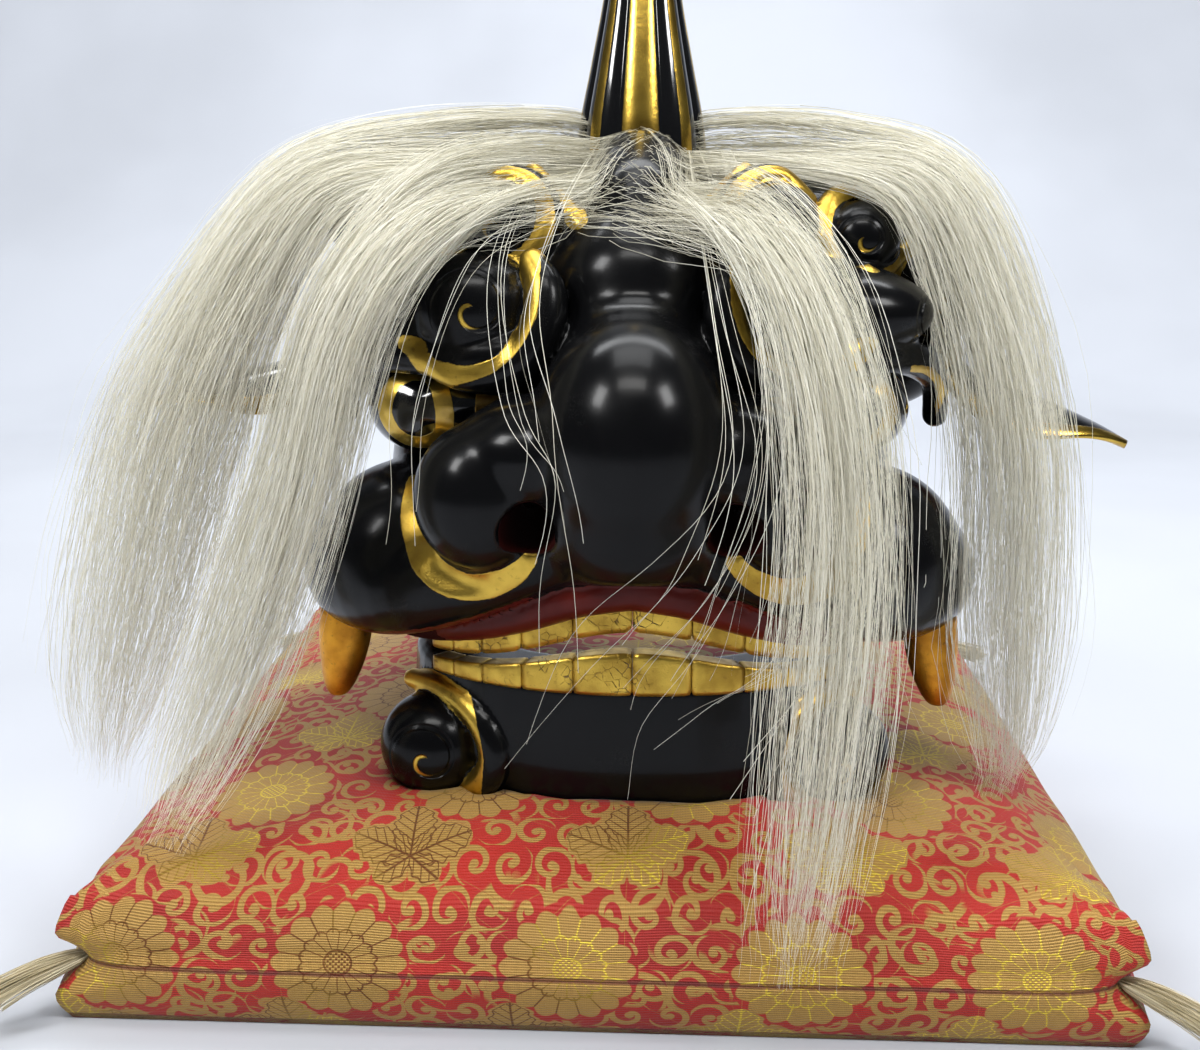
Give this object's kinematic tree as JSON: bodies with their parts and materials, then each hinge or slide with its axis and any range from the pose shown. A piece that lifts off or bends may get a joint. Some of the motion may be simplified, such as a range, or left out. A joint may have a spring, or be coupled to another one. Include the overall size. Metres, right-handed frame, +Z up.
{
  "type": "lion dance head on a display cushion",
  "caption": "Carved black lacquer lion dance head with gold leaf, a single horn, drooping ears, a pale horsehair mane and a hinged mouth, resting on a square brocade cushion with corner tassels",
  "frame": {"origin": "middle of the cushion's flat underside", "axes": "+Z up, the lion looks along -Y, +X is to the right of a viewer who faces it"},
  "size_m": [0.4397, 0.4219, 0.432],
  "materials": {
    "black_lacquer": "gloss lacquer over carved wood, gold leaf accents and vermilion inside",
    "gold_leaf": "gold leaf over lacquered wood",
    "horsehair": "coarse undyed horsehair",
    "brocade": "red satin ground with gold weft pattern over a soft filling",
    "cream_thread": "twisted thread",
    "oak_pin": "plain turned wood"
  },
  "bodies": {
    "base": {"cushion": "brocade", "tassel_front_left": "cream_thread", "tassel_front_right": "cream_thread", "tassel_rear_left": "cream_thread", "tassel_rear_right": "cream_thread", "jaw": "black_lacquer", "lower_teeth": "gold_leaf", "hinge_pin_left": "oak_pin", "hinge_pin_right": "oak_pin"},
    "head": {"skull": "black_lacquer", "upper_teeth": "gold_leaf", "fang_left": "gold_leaf", "fang_right": "gold_leaf", "eye_left": "gold_leaf", "eye_right": "gold_leaf", "ear_left": "black_lacquer", "ear_right": "black_lacquer", "horn": "black_lacquer", "mane_left": "horsehair", "mane_right": "horsehair"}
  },
  "joints": [
    {"name": "jaw_hinge", "type": "hinge", "parent": "base", "child": "head", "pos_m": [0.012, 0.05, 0.103], "axis": [-1, 0, 0], "range_deg": [0, 25]}
  ]
}
